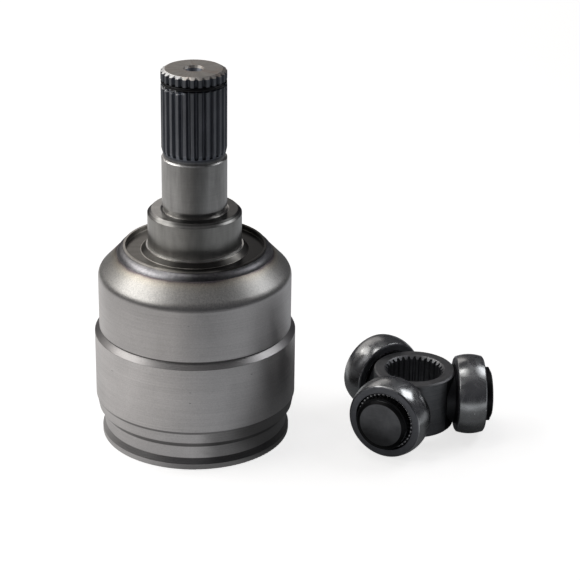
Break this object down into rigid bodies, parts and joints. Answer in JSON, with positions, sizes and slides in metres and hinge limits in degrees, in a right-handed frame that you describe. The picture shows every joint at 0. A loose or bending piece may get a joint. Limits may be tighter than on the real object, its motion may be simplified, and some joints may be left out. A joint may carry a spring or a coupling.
{
  "type": "plunging tripod cv joint",
  "caption": "Drive shaft tripod joint shown apart: stepped tulip housing with splined stub shaft, and a splined spider carrying ball rollers on needles.",
  "frame": {"origin": "centre of the housing mouth, on the housing axis", "axes": "+Z along the housing axis towards the stub shaft, +X towards the tripod that lies beside the housing"},
  "size_m": [0.1696, 0.0848, 0.1613],
  "materials": {
    "housing_steel": "satin, bare turned steel",
    "shaft_steel": "satin, ground steel",
    "weld_steel": "satin, bare weld with heat tint beside it",
    "spring_steel": "dark, oiled spring steel",
    "spider_steel": "matte dark, case-hardened",
    "roller_steel": "semi-gloss dark, ground crown",
    "needle_steel": "polished",
    "washer_steel": "dark, oiled"
  },
  "bodies": {
    "housing": {"housing_cup": "housing_steel", "stub_shaft": "shaft_steel", "weld_seam": "weld_steel", "snap_ring": "spring_steel"},
    "carrier": {"outer_washer_1": "washer_steel"},
    "spider": {"spider": "spider_steel", "circlip_1": "spring_steel", "circlip_2": "spring_steel", "circlip_3": "spring_steel", "outer_washer_2": "washer_steel", "outer_washer_3": "washer_steel"},
    "guide_1": {"inner_washer_1": "washer_steel"},
    "roller_1": {"roller_1": "roller_steel"},
    "needles_1": {"needles_1": "needle_steel"},
    "guide_2": {"inner_washer_2": "washer_steel"},
    "roller_2": {"roller_2": "roller_steel"},
    "needles_2": {"needles_2": "needle_steel"},
    "guide_3": {"inner_washer_3": "washer_steel"},
    "roller_3": {"roller_3": "roller_steel"},
    "needles_3": {"needles_3": "needle_steel"}
  },
  "joints": [
    {"name": "plunge", "type": "slide", "parent": "housing", "child": "carrier", "axis": [0, 0, 1], "range_m": [0, 0.034]},
    {"name": "joint_angle", "type": "hinge", "parent": "carrier", "child": "spider", "pos_m": [0.0936, -0.0007, 0.0171], "axis": [0.9989, 0.0471, 0], "range_deg": [-23, 23]},
    {"name": "roller_spin_1", "type": "hinge", "parent": "spider", "child": "guide_1", "pos_m": [0.0936, -0.0007, 0.0171], "axis": [0.9989, 0.0471, 0], "continuous": true},
    {"name": "roller_float_1", "type": "slide", "parent": "guide_1", "child": "roller_1", "axis": [0.9989, 0.0471, 0], "range_m": [-0.0004, 0.0024]},
    {"name": "needle_orbit_1", "type": "hinge", "parent": "spider", "child": "needles_1", "pos_m": [0.0936, -0.0007, 0.0171], "axis": [0.9989, 0.0471, 0], "continuous": true},
    {"name": "roller_spin_2", "type": "hinge", "parent": "spider", "child": "guide_2", "pos_m": [0.0936, -0.0007, 0.0171], "axis": [-0.5402, 0.8415, 0], "continuous": true},
    {"name": "roller_float_2", "type": "slide", "parent": "guide_2", "child": "roller_2", "axis": [-0.5402, 0.8415, 0], "range_m": [-0.0004, 0.0024]},
    {"name": "needle_orbit_2", "type": "hinge", "parent": "spider", "child": "needles_2", "pos_m": [0.0936, -0.0007, 0.0171], "axis": [-0.5402, 0.8415, 0], "continuous": true},
    {"name": "roller_spin_3", "type": "hinge", "parent": "spider", "child": "guide_3", "pos_m": [0.0936, -0.0007, 0.0171], "axis": [-0.4586, -0.8886, 0], "continuous": true},
    {"name": "roller_float_3", "type": "slide", "parent": "guide_3", "child": "roller_3", "axis": [-0.4586, -0.8886, 0], "range_m": [-0.0004, 0.0024]},
    {"name": "needle_orbit_3", "type": "hinge", "parent": "spider", "child": "needles_3", "pos_m": [0.0936, -0.0007, 0.0171], "axis": [-0.4586, -0.8886, 0], "continuous": true}
  ],
  "couplings": [
    {"joint": "needle_orbit_1", "follows": "roller_spin_1", "ratio": 0.54202},
    {"joint": "needle_orbit_2", "follows": "roller_spin_2", "ratio": 0.54202},
    {"joint": "needle_orbit_3", "follows": "roller_spin_3", "ratio": 0.54202}
  ]
}
